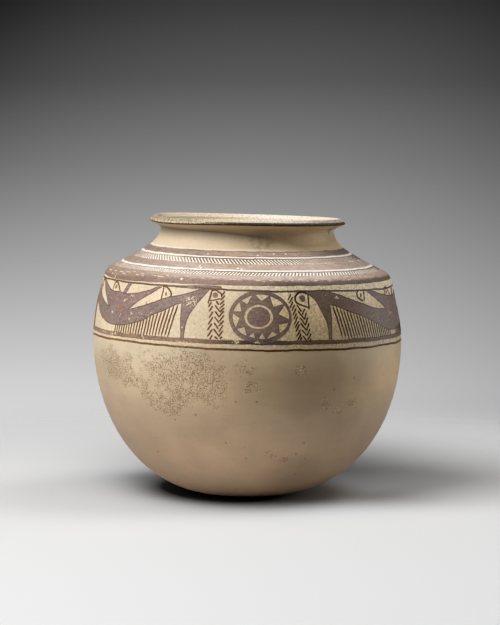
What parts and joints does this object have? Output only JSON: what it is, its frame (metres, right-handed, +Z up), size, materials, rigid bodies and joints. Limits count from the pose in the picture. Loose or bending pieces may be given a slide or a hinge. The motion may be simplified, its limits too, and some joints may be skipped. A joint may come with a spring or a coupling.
{
  "type": "storage jar",
  "caption": "Round-bodied pottery jar with a wide mouth, short neck, flaring rim and rounded base, painted above the belly with brown bands, hatching and a figured frieze.",
  "frame": {"origin": "centre of the flat resting face under the rounded base", "axes": "+Z up along the jar's axis, -Y towards the viewer, +X to the viewer's right, where the rim stands lowest"},
  "size_m": [0.28, 0.28, 0.2546],
  "materials": {
    "tan_clay": "matt fired clay, worn pale slip",
    "buff_clay": "burnished pale slip, speckled",
    "painted_clay": "burnished pale slip with worn brown paint",
    "cream_clay": "matt pale slip, stained"
  },
  "bodies": {
    "root": {"base_bowl": "tan_clay", "belly_wall": "buff_clay", "frieze_wall": "painted_clay", "shoulder": "painted_clay", "neck": "cream_clay", "rim": "cream_clay"}
  },
  "joints": []
}
